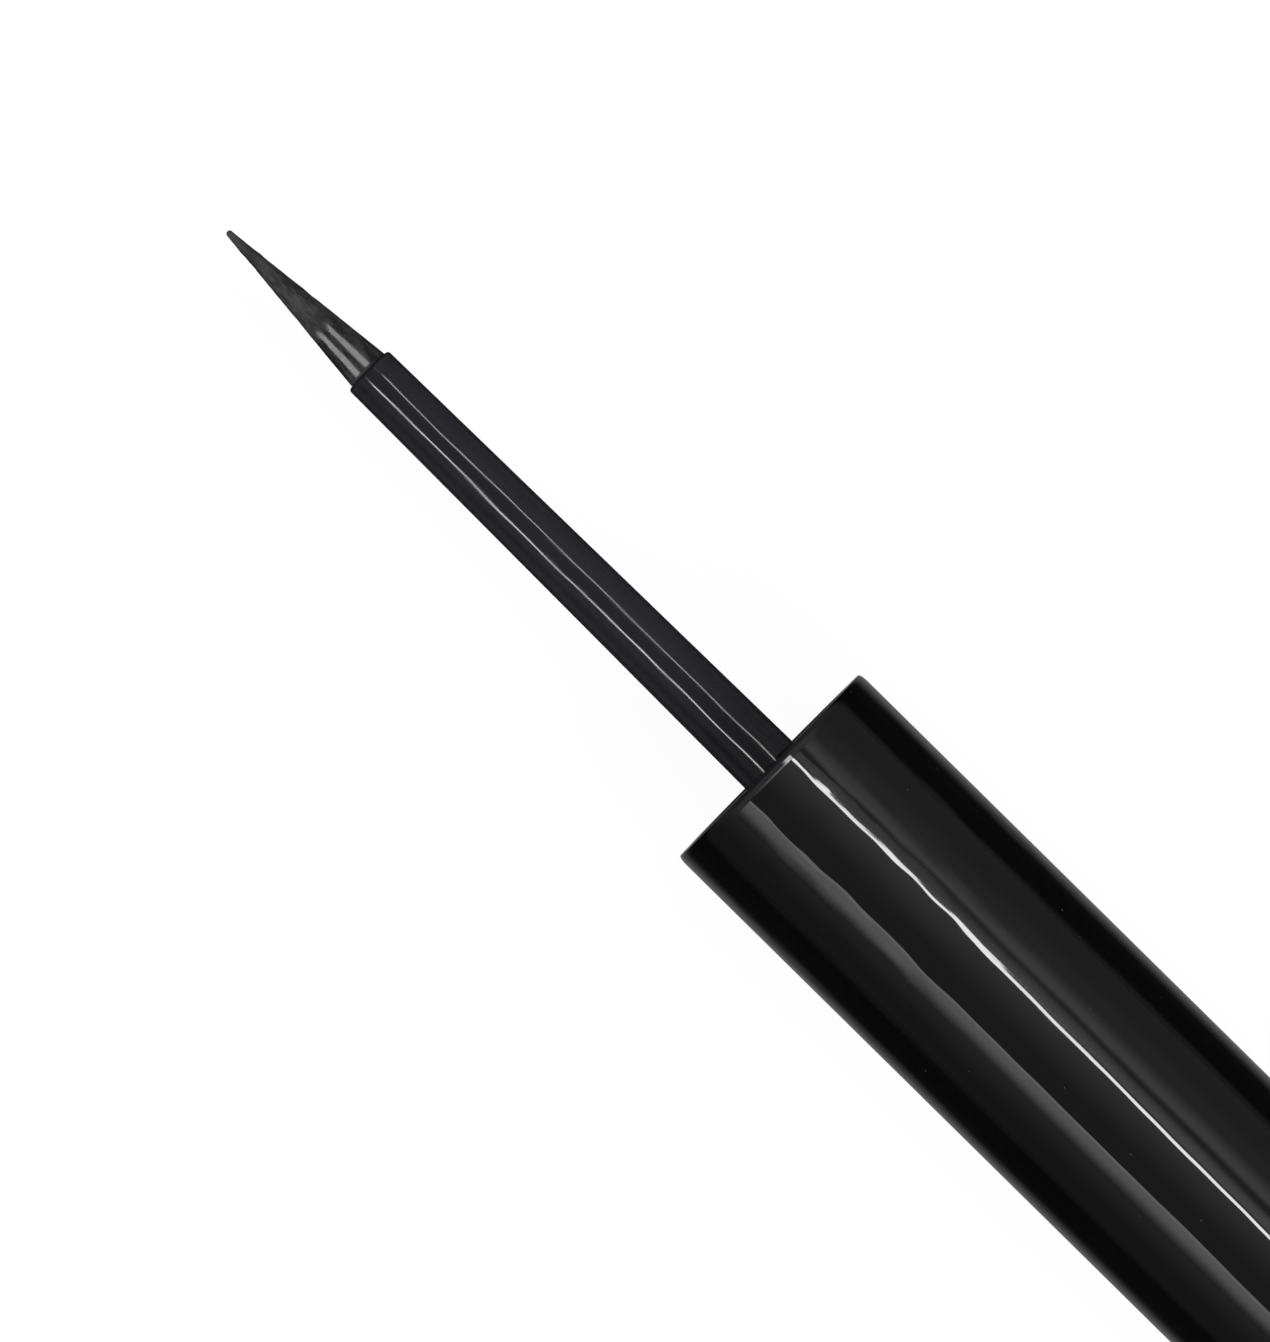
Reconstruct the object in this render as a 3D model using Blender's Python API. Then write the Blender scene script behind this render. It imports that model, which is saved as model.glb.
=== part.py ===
"""A dip eyeliner: a felt-tipped applicator in a screw cap, drawn out of its bottle.

Both halves lie on one line along X, on the plane z = 0. The point of the tip looks towards -X, at the
mouth of the bottle, and the closed end of the cap is at +X. Lengths are in metres.
"""
import math

import bmesh
import bpy
from mathutils import Vector

MM = 0.001

# Clearances
FIT_GAP = 0.30 * MM
STEM_GAP = 0.25 * MM
THREAD_GAP = 0.25 * MM
TIP_FLOOR_GAP = 3.5 * MM
WITHDRAWN_GAP = 20.0 * MM

# Outer cap
CAP_RADIUS = 6.25 * MM
CAP_LENGTH = 60.0 * MM
CAP_WALL = 0.95 * MM
CAP_CORE_WALL = 1.6 * MM
CAP_END_WALL = 1.2 * MM
CAP_RIM_FILLET = 0.15 * MM
CAP_END_FILLET = 0.45 * MM

# Inner cap, with the thread and the socket of the stem
INNER_CAP_WALL = 0.75 * MM
INNER_CAP_RECESS = 0.8 * MM
INNER_CAP_CEILING = 1.2 * MM
SOCKET_DEPTH = 6.0 * MM
SOCKET_WALL = 1.1 * MM

# Stem
STEM_LENGTH = 27.24 * MM
STEM_ROOT_RADIUS = 1.62 * MM
STEM_END_RADIUS = 1.35 * MM
STEM_CHAMFER = 0.12 * MM

# Felt tip
TIP_LENGTH = 9.58 * MM
TIP_BASE_RADIUS = 1.12 * MM
TIP_POINT_RADIUS = 0.17 * MM
TIP_SHANK_RADIUS = 0.72 * MM
TIP_SHANK_LENGTH = 5.5 * MM
TIP_SHANK_GAP = 0.18 * MM

# Seal under the ceiling of the inner cap
SEAL_THICKNESS = 1.0 * MM
SEAL_RADIUS = 3.55 * MM

# Screw thread
THREAD_PITCH = 2.4 * MM
THREAD_DEPTH = 0.50 * MM
THREAD_ROOT_WIDTH = 0.80 * MM
THREAD_CREST_WIDTH = 0.40 * MM
THREAD_LEAD_IN = 1.5 * MM
THREAD_ROOTING = 0.20 * MM

# Neck and vial
NECK_LENGTH = 10.5 * MM
NECK_WALL = 0.60 * MM
NECK_BEAD_WIDTH = 0.45 * MM
NECK_RIM_FILLET = 0.15 * MM
VIAL_WALL = 0.75 * MM
VIAL_SHOULDER = 1.0 * MM
VIAL_FLOOR = 0.9 * MM

# Bottle sleeve and the ring on its shoulder
SLEEVE_RADIUS = 6.25 * MM
SLEEVE_WALL = 0.95 * MM
SLEEVE_SHOULDER = 0.9 * MM
SLEEVE_FILLET = 0.25 * MM
RING_THICKNESS = 1.2 * MM
RING_FILLET = 0.20 * MM

# Wiper in the neck
WIPER_WALL = 0.45 * MM
WIPER_FLANGE = 0.5 * MM
WIPER_FLANGE_RADIUS = 3.3 * MM
WIPER_TUBE_LENGTH = 4.5 * MM
WIPER_FUNNEL_LENGTH = 2.5 * MM

# Base plug and the label let into it
PLUG_FLANGE = 1.0 * MM
PLUG_SPIGOT = 2.0 * MM
LABEL_RADIUS = 4.4 * MM
LABEL_THICKNESS = 0.20 * MM

# Mixing ball
BALL_RADIUS = 1.0 * MM

# Facets round each piece, and steps in a fillet and along the thread
SHELL_SIDES = 32
SLIM_SIDES = 24
BALL_SIDES = 16
FILLET_STEPS = 3
THREAD_STEPS = 32
SMOOTH_ANGLE = math.radians(30)

# Radii that follow, from the outside in
SOCKET_BORE = CAP_RADIUS - CAP_WALL
INNER_CAP_RADIUS = SOCKET_BORE - FIT_GAP
INNER_CAP_BORE = INNER_CAP_RADIUS - INNER_CAP_WALL
THREAD_CREST = INNER_CAP_BORE - THREAD_GAP
NECK_RADIUS = THREAD_CREST - THREAD_DEPTH
CAP_THREAD_CREST = NECK_RADIUS + THREAD_GAP
NECK_BORE = NECK_RADIUS - NECK_WALL
WIPER_RADIUS = NECK_BORE - FIT_GAP
WIPER_BORE = WIPER_RADIUS - WIPER_WALL
WIPER_LIP = STEM_ROOT_RADIUS + STEM_GAP
STEM_HOLE = STEM_ROOT_RADIUS + FIT_GAP
VIAL_RADIUS = SLEEVE_RADIUS - SLEEVE_WALL - FIT_GAP
VIAL_BORE = VIAL_RADIUS - VIAL_WALL

# Places along the bottle, from the top of its sleeve, positive towards the mouth
RING_FRONT = FIT_GAP + RING_THICKNESS
CLOSED_CAP_FRONT = RING_FRONT + FIT_GAP
BEAD_BACK = RING_FRONT + FIT_GAP
WIPER_TOP = NECK_LENGTH + FIT_GAP + WIPER_FLANGE
SEAL_CLOSED_BACK = WIPER_TOP + FIT_GAP
CEILING_CLOSED = SEAL_CLOSED_BACK + SEAL_THICKNESS + FIT_GAP
VIAL_TOP = -SLEEVE_SHOULDER - FIT_GAP
CAVITY_TOP = VIAL_TOP - VIAL_SHOULDER
CAVITY_FLOOR = CLOSED_CAP_FRONT - STEM_LENGTH - TIP_LENGTH - TIP_FLOOR_GAP
VIAL_BOTTOM = CAVITY_FLOOR - VIAL_FLOOR
SPIGOT_TOP = VIAL_BOTTOM - FIT_GAP
FLANGE_TOP = SPIGOT_TOP - PLUG_SPIGOT
SLEEVE_BOTTOM = FLANGE_TOP + FIT_GAP
BASE_FACE = FLANGE_TOP - PLUG_FLANGE
NECK_THREAD_START = NECK_LENGTH - THREAD_LEAD_IN - THREAD_PITCH

# Places along the applicator, from the open edge of its cap, positive into the cap
CEILING = CEILING_CLOSED - CLOSED_CAP_FRONT
SEAL_BACK = CEILING - FIT_GAP - THREAD_PITCH - SEAL_THICKNESS
SOCKET_END = CEILING + INNER_CAP_CEILING + SOCKET_DEPTH
INNER_CAP_END = SOCKET_END + FIT_GAP + SOCKET_WALL
CAP_THREAD_START = NECK_THREAD_START - THREAD_PITCH / 2 - CLOSED_CAP_FRONT
TIP_BASE = -STEM_LENGTH - FIT_GAP
TIP_POINT = -STEM_LENGTH - TIP_LENGTH

# The two halves along X, with the whole object centred on the origin
CAP_FRONT_FROM_SHOULDER = WIPER_TOP + WITHDRAWN_GAP - TIP_POINT
OVERALL_LENGTH = CAP_FRONT_FROM_SHOULDER + CAP_LENGTH - BASE_FACE
AXIS_HEIGHT = max(CAP_RADIUS, SLEEVE_RADIUS)
BOTTLE_X = -OVERALL_LENGTH / 2 - BASE_FACE
APPLICATOR_X = BOTTLE_X + CAP_FRONT_FROM_SHOULDER
BALL_X = BOTTLE_X + CAVITY_FLOOR + FIT_GAP + BALL_RADIUS
BALL_DROP = VIAL_BORE - FIT_GAP - BALL_RADIUS


def clear_scene():
    """Remove whatever the scene holds."""
    for found in list(bpy.context.scene.objects):
        bpy.data.objects.remove(found, do_unlink=True)


def finish(name, colour, roughness, metallic=0.0):
    """A plain material with one colour and one gloss."""
    material = bpy.data.materials.new(name)
    material.use_nodes = True
    shader = material.node_tree.nodes["Principled BSDF"]
    shader.inputs["Base Color"].default_value = (*colour, 1.0)
    shader.inputs["Roughness"].default_value = roughness
    shader.inputs["Metallic"].default_value = metallic
    return material


def body(name, x, drop=0.0):
    """An empty on the long axis, or below it by drop, that carries the pieces of one moving body."""
    holder = bpy.data.objects.new(name, None)
    holder.empty_display_size = CAP_RADIUS
    holder.location = (x, 0, AXIS_HEIGHT - drop)
    bpy.context.collection.objects.link(holder)
    return holder


def place(name, mesh_maker, holder, material):
    """Turn a bmesh into a smooth-shaded object on its holder."""
    bmesh.ops.recalc_face_normals(mesh_maker, faces=mesh_maker.faces)
    mesh = bpy.data.meshes.new(name)
    mesh_maker.to_mesh(mesh)
    mesh_maker.free()
    mesh.shade_smooth()
    mesh.set_sharp_from_angle(angle=SMOOTH_ANGLE)
    mesh.materials.append(material)
    piece = bpy.data.objects.new(name, mesh)
    piece.parent = holder
    bpy.context.collection.objects.link(piece)
    return piece


def rounded(corners):
    """An outline of (x, r) points from corners (x, r, fillet): each fillet becomes an arc."""
    outline = []
    for index, (x, r, fillet) in enumerate(corners):
        corner = Vector((x, r))
        if not fillet:
            outline.append(corner)
            continue
        before = Vector(corners[index - 1][:2])
        after = Vector(corners[(index + 1) % len(corners)][:2])
        incoming = (before - corner).normalized()
        outgoing = (after - corner).normalized()
        half = incoming.angle(outgoing) / 2
        centre = corner + (incoming + outgoing).normalized() * fillet / math.sin(half)
        start = corner + incoming * fillet / math.tan(half) - centre
        end = corner + outgoing * fillet / math.tan(half) - centre
        for step in range(FILLET_STEPS + 1):
            spoke = start.lerp(end, step / FILLET_STEPS)
            outline.append(centre + spoke.normalized() * fillet)
    return outline


def turned(name, corners, sides, holder, material):
    """Spin an outline round the long axis. Flats, not corners, stand at the radii, and one lies below."""
    outline = rounded(corners)
    closed = outline[0].y > 0
    mesh_maker = bmesh.new()
    rise = math.tan(math.pi / sides)
    ring = [mesh_maker.verts.new((point.x, point.y, point.y * rise)) for point in outline]
    pairs = list(zip(ring, ring[1:]))
    if closed:
        pairs.append((ring[-1], ring[0]))
    edges = [mesh_maker.edges.new(pair) for pair in pairs]
    bmesh.ops.spin(
        mesh_maker,
        geom=ring + edges,
        axis=(1, 0, 0),
        cent=(0, 0, 0),
        angle=math.tau,
        steps=sides,
        use_merge=True,
    )
    bmesh.ops.remove_doubles(mesh_maker, verts=mesh_maker.verts, dist=MM * MM)
    return place(name, mesh_maker, holder, material)


def add_thread(piece, start, root, crest, holder, material):
    """Join one turn of right-hand thread to a piece, from start towards +X, standing from root to crest."""
    mesh_maker = bmesh.new()
    rise = math.tan(math.pi / THREAD_STEPS)
    rooting = math.copysign(THREAD_ROOTING, root - crest)
    taper = (THREAD_ROOT_WIDTH - THREAD_CREST_WIDTH) / THREAD_DEPTH
    buried_width = THREAD_ROOT_WIDTH + taper * THREAD_ROOTING
    section = [
        (start - buried_width / 2, root + rooting),
        (start + buried_width / 2, root + rooting),
        (start + THREAD_CREST_WIDTH / 2, crest),
        (start - THREAD_CREST_WIDTH / 2, crest),
    ]
    ring = [mesh_maker.verts.new((x, r, r * rise)) for x, r in section]
    face = mesh_maker.faces.new(ring)
    bmesh.ops.spin(
        mesh_maker,
        geom=[*ring, *face.edges, face],
        axis=(1, 0, 0),
        cent=(0, 0, 0),
        dvec=(THREAD_PITCH / THREAD_STEPS, 0, 0),
        angle=math.tau,
        steps=THREAD_STEPS,
    )
    ridge = place(piece.name + "_ridge", mesh_maker, holder, material)
    ridge.hide_render = True
    ridge.display_type = "WIRE"
    union = piece.modifiers.new("Thread", "BOOLEAN")
    union.operation = "UNION"
    union.solver = "EXACT"
    union.object = ridge


def build_outer_cap(holder, material):
    """The long glossy shell. Its bore steps in behind the inner cap, which stops against the step."""
    core = CAP_RADIUS - CAP_CORE_WALL
    step = INNER_CAP_END + FIT_GAP
    corners = [
        (CAP_LENGTH - CAP_END_WALL, 0, 0),
        (CAP_LENGTH - CAP_END_WALL, core, 0),
        (step, core, 0),
        (step, SOCKET_BORE, 0),
        (0, SOCKET_BORE, 0),
        (0, CAP_RADIUS, CAP_RIM_FILLET),
        (CAP_LENGTH, CAP_RADIUS, CAP_END_FILLET),
        (CAP_LENGTH, 0, 0),
    ]
    turned("outer_cap", corners, SHELL_SIDES, holder, material)


def build_inner_cap(holder, material):
    """The threaded liner of the cap, with a ceiling over the neck and a blind socket for the stem."""
    boss = STEM_HOLE + SOCKET_WALL
    corners = [
        (INNER_CAP_END, 0, 0),
        (INNER_CAP_END, boss, 0),
        (CEILING + INNER_CAP_CEILING, boss, 0),
        (CEILING + INNER_CAP_CEILING, INNER_CAP_RADIUS, 0),
        (INNER_CAP_RECESS, INNER_CAP_RADIUS, 0),
        (INNER_CAP_RECESS, INNER_CAP_BORE, 0),
        (CEILING, INNER_CAP_BORE, 0),
        (CEILING, STEM_HOLE, 0),
        (SOCKET_END + FIT_GAP, STEM_HOLE, 0),
        (SOCKET_END + FIT_GAP, 0, 0),
    ]
    inner_cap = turned("inner_cap", corners, SHELL_SIDES, holder, material)
    add_thread(inner_cap, CAP_THREAD_START, INNER_CAP_BORE, CAP_THREAD_CREST, holder, material)


def build_stem(holder, material):
    """The tapered rod, with a straight head in the socket and a blind bore for the shank of the tip."""
    bore = TIP_SHANK_RADIUS + TIP_SHANK_GAP
    bore_end = TIP_BASE + TIP_SHANK_LENGTH + FIT_GAP
    corners = [
        (bore_end, 0, 0),
        (bore_end, bore, 0),
        (-STEM_LENGTH, bore, 0),
        (-STEM_LENGTH, STEM_END_RADIUS - STEM_CHAMFER, 0),
        (-STEM_LENGTH + STEM_CHAMFER, STEM_END_RADIUS, 0),
        (0, STEM_ROOT_RADIUS, 0),
        (SOCKET_END, STEM_ROOT_RADIUS, 0),
        (SOCKET_END, 0, 0),
    ]
    turned("stem", corners, SLIM_SIDES, holder, material)


def build_felt_tip(holder, material):
    """The felt cone, with a slim shank that is held in the stem."""
    corners = [
        (TIP_BASE + TIP_SHANK_LENGTH, 0, 0),
        (TIP_BASE + TIP_SHANK_LENGTH, TIP_SHANK_RADIUS, 0),
        (TIP_BASE, TIP_SHANK_RADIUS, 0),
        (TIP_BASE, TIP_BASE_RADIUS, 0),
        (TIP_POINT + TIP_POINT_RADIUS, TIP_POINT_RADIUS, 0),
        (TIP_POINT, 0, 0),
    ]
    turned("felt_tip", corners, SLIM_SIDES, holder, material)


def build_seal(holder, material):
    """The soft washer that floats on the stem below the ceiling and closes on the wiper's flange."""
    front = SEAL_BACK + SEAL_THICKNESS
    corners = [
        (SEAL_BACK, STEM_HOLE, 0),
        (SEAL_BACK, SEAL_RADIUS, 0),
        (front, SEAL_RADIUS, 0),
        (front, STEM_HOLE, 0),
    ]
    turned("seal_washer", corners, SLIM_SIDES, holder, material)


def build_vial(holder, material):
    """The ink vial: a straight body, a stepped shoulder, and a neck with a bead and a thread."""
    corners = [
        (VIAL_BOTTOM, 0, 0),
        (VIAL_BOTTOM, VIAL_RADIUS, 0),
        (VIAL_TOP, VIAL_RADIUS, 0),
        (VIAL_TOP, THREAD_CREST, 0),
        (0, THREAD_CREST, 0),
        (0, NECK_RADIUS, 0),
        (BEAD_BACK, NECK_RADIUS, 0),
        (BEAD_BACK, THREAD_CREST, 0),
        (BEAD_BACK + NECK_BEAD_WIDTH, THREAD_CREST, 0),
        (BEAD_BACK + NECK_BEAD_WIDTH, NECK_RADIUS, 0),
        (NECK_LENGTH, NECK_RADIUS, NECK_RIM_FILLET),
        (NECK_LENGTH, NECK_BORE, 0),
        (CAVITY_TOP, NECK_BORE, 0),
        (CAVITY_TOP, VIAL_BORE, 0),
        (CAVITY_FLOOR, VIAL_BORE, 0),
        (CAVITY_FLOOR, 0, 0),
    ]
    vial = turned("vial", corners, SHELL_SIDES, holder, material)
    add_thread(vial, NECK_THREAD_START, NECK_RADIUS, THREAD_CREST, holder, material)


def build_wiper(holder, material):
    """The flanged wiper in the neck, whose funnel ends in a lip round the stem."""
    flange_back = NECK_LENGTH + FIT_GAP
    tube_end = NECK_LENGTH - WIPER_TUBE_LENGTH
    lip_end = tube_end - WIPER_FUNNEL_LENGTH
    corners = [
        (flange_back, WIPER_RADIUS, 0),
        (flange_back, WIPER_FLANGE_RADIUS, 0),
        (WIPER_TOP, WIPER_FLANGE_RADIUS, 0),
        (WIPER_TOP, WIPER_BORE, 0),
        (tube_end, WIPER_BORE, 0),
        (lip_end, WIPER_LIP, 0),
        (lip_end, WIPER_LIP + WIPER_WALL, 0),
        (tube_end, WIPER_RADIUS, 0),
    ]
    turned("wiper", corners, SLIM_SIDES, holder, material)


def build_sleeve(holder, material):
    """The glossy outer sleeve, open at the base and drawn in over the shoulder of the vial."""
    bore = SLEEVE_RADIUS - SLEEVE_WALL
    collar_hole = THREAD_CREST + FIT_GAP
    corners = [
        (SLEEVE_BOTTOM, bore, 0),
        (SLEEVE_BOTTOM, SLEEVE_RADIUS, 0),
        (0, SLEEVE_RADIUS, SLEEVE_FILLET),
        (0, collar_hole, 0),
        (-SLEEVE_SHOULDER, collar_hole, 0),
        (-SLEEVE_SHOULDER, bore, 0),
    ]
    turned("bottle_sleeve", corners, SHELL_SIDES, holder, material)


def build_base_plug(holder, material):
    """The plug that closes the sleeve, with a shallow recess for the label in its outer face."""
    recess_floor = BASE_FACE + LABEL_THICKNESS + FIT_GAP
    recess = LABEL_RADIUS + FIT_GAP
    spigot = SLEEVE_RADIUS - SLEEVE_WALL - FIT_GAP
    corners = [
        (recess_floor, 0, 0),
        (recess_floor, recess, 0),
        (BASE_FACE, recess, 0),
        (BASE_FACE, SLEEVE_RADIUS, SLEEVE_FILLET),
        (FLANGE_TOP, SLEEVE_RADIUS, 0),
        (FLANGE_TOP, spigot, 0),
        (SPIGOT_TOP, spigot, 0),
        (SPIGOT_TOP, 0, 0),
    ]
    turned("base_plug", corners, SHELL_SIDES, holder, material)


def build_label(holder, material):
    """The blank round label of the shade, flush with the rim of the base plug."""
    corners = [
        (BASE_FACE, 0, 0),
        (BASE_FACE, LABEL_RADIUS, 0),
        (BASE_FACE + LABEL_THICKNESS, LABEL_RADIUS, 0),
        (BASE_FACE + LABEL_THICKNESS, 0, 0),
    ]
    turned("shade_label", corners, SHELL_SIDES, holder, material)


def build_shoulder_ring(holder, material):
    """The trim ring on the sleeve's shoulder, free to turn below the bead of the neck."""
    hole = NECK_RADIUS + FIT_GAP
    corners = [
        (FIT_GAP, hole, 0),
        (FIT_GAP, SLEEVE_RADIUS, RING_FILLET),
        (RING_FRONT, SLEEVE_RADIUS, RING_FILLET),
        (RING_FRONT, hole, 0),
    ]
    turned("shoulder_ring", corners, SHELL_SIDES, holder, material)


def build_ball(holder, material):
    """The steel ball that stirs the ink, lying on the wall of the vial."""
    mesh_maker = bmesh.new()
    bmesh.ops.create_uvsphere(
        mesh_maker, u_segments=BALL_SIDES, v_segments=BALL_SIDES // 2, radius=BALL_RADIUS
    )
    place("mixing_ball", mesh_maker, holder, material)


def main():
    clear_scene()
    gloss_black = finish("gloss_black", (0.012, 0.012, 0.012), 0.06)
    inner_black = finish("inner_black", (0.02, 0.02, 0.02), 0.35)
    stem_black = finish("stem_black", (0.02, 0.019, 0.024), 0.2)
    felt = finish("inked_felt", (0.045, 0.045, 0.045), 0.85)
    seal_foam = finish("seal_foam", (0.75, 0.75, 0.73), 0.7)
    vial_plastic = finish("vial_plastic", (0.55, 0.56, 0.57), 0.3)
    wiper_plastic = finish("wiper_plastic", (0.68, 0.68, 0.66), 0.45)
    label_film = finish("label_film", (0.78, 0.78, 0.78), 0.4)
    ball_steel = finish("ball_steel", (0.6, 0.6, 0.61), 0.15, 1.0)

    bottle = body("bottle", BOTTLE_X)
    build_sleeve(bottle, gloss_black)
    build_vial(bottle, vial_plastic)
    build_wiper(bottle, wiper_plastic)
    build_base_plug(bottle, gloss_black)
    build_label(bottle, label_film)

    build_shoulder_ring(body("ring", BOTTLE_X), gloss_black)
    build_seal(body("seal", APPLICATOR_X), seal_foam)
    build_ball(body("ball", BALL_X, BALL_DROP), ball_steel)

    applicator = body("applicator", APPLICATOR_X)
    build_outer_cap(applicator, gloss_black)
    build_inner_cap(applicator, inner_black)
    build_stem(applicator, stem_black)
    build_felt_tip(applicator, felt)


main()
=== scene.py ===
"""Looks of the dip eyeliner: fine turned pieces, procedural finishes, lamps and the photograph's camera."""
import logging
import math
from dataclasses import dataclass, field
from enum import Enum
from typing import Any, TypeAlias

import bmesh
import bpy
from mathutils import Matrix, Vector, noise


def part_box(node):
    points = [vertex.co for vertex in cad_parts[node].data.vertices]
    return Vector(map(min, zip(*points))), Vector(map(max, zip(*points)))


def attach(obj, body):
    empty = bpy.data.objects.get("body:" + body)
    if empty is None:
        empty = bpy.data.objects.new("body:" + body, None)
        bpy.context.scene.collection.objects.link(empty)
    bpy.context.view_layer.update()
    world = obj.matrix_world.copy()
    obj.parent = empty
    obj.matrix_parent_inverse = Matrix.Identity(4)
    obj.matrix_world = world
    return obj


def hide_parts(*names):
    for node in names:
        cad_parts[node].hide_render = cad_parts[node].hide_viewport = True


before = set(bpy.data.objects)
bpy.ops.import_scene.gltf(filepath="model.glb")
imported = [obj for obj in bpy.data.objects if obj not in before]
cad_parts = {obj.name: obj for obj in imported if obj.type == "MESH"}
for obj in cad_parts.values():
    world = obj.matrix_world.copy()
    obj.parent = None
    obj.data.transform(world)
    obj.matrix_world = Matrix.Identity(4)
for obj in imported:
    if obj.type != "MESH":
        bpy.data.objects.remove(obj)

LOG = logging.getLogger("eyeliner")
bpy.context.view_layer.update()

MM = 0.001
NOISE_MEAN = 0.5
LAMP_DISTANCE = 400 * MM

Pair = tuple[float, float]
Cell = tuple[float, float, float]
Colour = tuple[float, float, float]
Settings = dict[str, Any]
Inputs = dict[str | int, Any]
Operand: TypeAlias = "Signal | float"


class Body(Enum):
    """The moving bodies of the frame that pieces ride on."""

    BOTTLE = "bottle"
    RING = "ring"
    SEAL = "seal"
    APPLICATOR = "applicator"
    BALL = "ball"


class Leave(Enum):
    """The way in which a bend leaves its first point."""

    ALONG = "along the axis"
    ACROSS = "away from the axis or towards it"


class Lit(Enum):
    """The groups of pieces that lamps are set for."""

    SHELLS = "shells"
    STEM = "stem"
    FELT = "felt"
    SLIM = "stem and felt"
    ALL = "all"

    def group(self) -> bpy.types.Collection:
        """Return the collection of the group, which is made when it is first asked for."""
        name = "lit " + self.value
        return bpy.data.collections.get(name) or bpy.data.collections.new(name)

    def take(self, piece: bpy.types.Object) -> None:
        """Put a piece in the group, and the stem or the felt in the group of both too."""
        for lit in (self,) if self is Lit.SHELLS else (self, Lit.SLIM):
            lit.group().objects.link(piece)

    def aim(self, lamp: bpy.types.Object) -> None:
        """Let a lamp or a card light this group alone."""
        if self is not Lit.ALL:
            lamp.light_linking.receiver_collection = self.group()


@dataclass(frozen=True)
class Span:
    """Where a CAD node lies along the long axis, its widest radius and the height of its middle."""

    start: float
    end: float
    radius: float
    height: float

    @classmethod
    def of(cls, node: str) -> "Span":
        """Read a node's span from the frame.

        Args:
            node: The name of the CAD node.

        Returns:
            Its start and end along X, its radius and the height of its axis.
        """
        low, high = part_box(node)
        return cls(low[0], high[0], (high[1] - low[1]) / 2, (high[2] + low[2]) / 2)


CAP = Span.of("outer_cap")
AXIS = Vector((0, 0, CAP.height))


class Signal:
    """One output socket of a node, on which arithmetic adds Math nodes."""

    def __init__(self, graph: "Graph", socket: bpy.types.NodeSocket) -> None:
        """Hold the socket and the graph that it belongs to."""
        self.graph = graph
        self.socket = socket

    def _math(self, operation: str, left: Operand, right: Operand) -> "Signal":
        """Add one Math node of two inputs."""
        return self.graph.add("ShaderNodeMath", {"operation": operation}, {0: left, 1: right})

    def __add__(self, other: Operand) -> "Signal":
        """Return self + other."""
        return self._math("ADD", self, other)

    def __radd__(self, other: Operand) -> "Signal":
        """Return other + self."""
        return self._math("ADD", other, self)

    def __sub__(self, other: Operand) -> "Signal":
        """Return self - other."""
        return self._math("SUBTRACT", self, other)

    def __rsub__(self, other: Operand) -> "Signal":
        """Return other - self."""
        return self._math("SUBTRACT", other, self)

    def __mul__(self, other: Operand) -> "Signal":
        """Return self * other."""
        return self._math("MULTIPLY", self, other)

    def __rmul__(self, other: Operand) -> "Signal":
        """Return other * self."""
        return self._math("MULTIPLY", other, self)

    def __truediv__(self, other: Operand) -> "Signal":
        """Return self / other."""
        return self._math("DIVIDE", self, other)

    def __rtruediv__(self, other: Operand) -> "Signal":
        """Return other / self."""
        return self._math("DIVIDE", other, self)

    def __abs__(self) -> "Signal":
        """Return the size of self."""
        return self._math("ABSOLUTE", self, 0.0)

    def step(self, low: float, high: float) -> "Signal":
        """Rise smoothly from 0 at low to 1 at high."""
        return self.graph.add(
            "ShaderNodeMapRange",
            {"interpolation_type": "SMOOTHSTEP"},
            {"Value": self, "From Min": low, "From Max": high},
        )


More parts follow.
